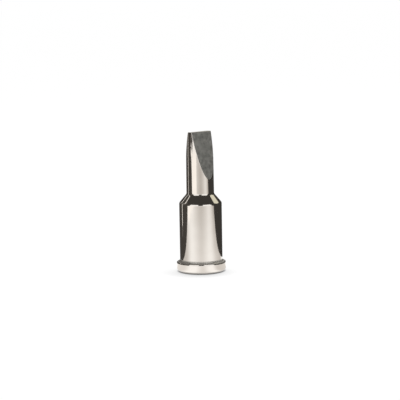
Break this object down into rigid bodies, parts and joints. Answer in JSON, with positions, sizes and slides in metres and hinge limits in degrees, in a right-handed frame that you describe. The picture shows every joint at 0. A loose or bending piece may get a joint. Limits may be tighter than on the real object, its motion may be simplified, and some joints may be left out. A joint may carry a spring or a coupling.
{
  "type": "soldering iron tip",
  "caption": "Plated chisel soldering tip: two ground flats on a round shank, a coned shoulder, and a hollow barrel on a retaining flange.",
  "frame": {"origin": "centre of the flange's underside, which is the mouth of the bore", "axes": "+Z along the bore axis towards the working edge, +X along the working edge, the two flats face +Y and -Y"},
  "size_m": [0.0086, 0.0086, 0.0244],
  "materials": {
    "plated_copper": "bright nickel plating over copper, with dull grey ground flats"
  },
  "bodies": {
    "root": {"soldering_tip": "plated_copper"}
  },
  "joints": []
}
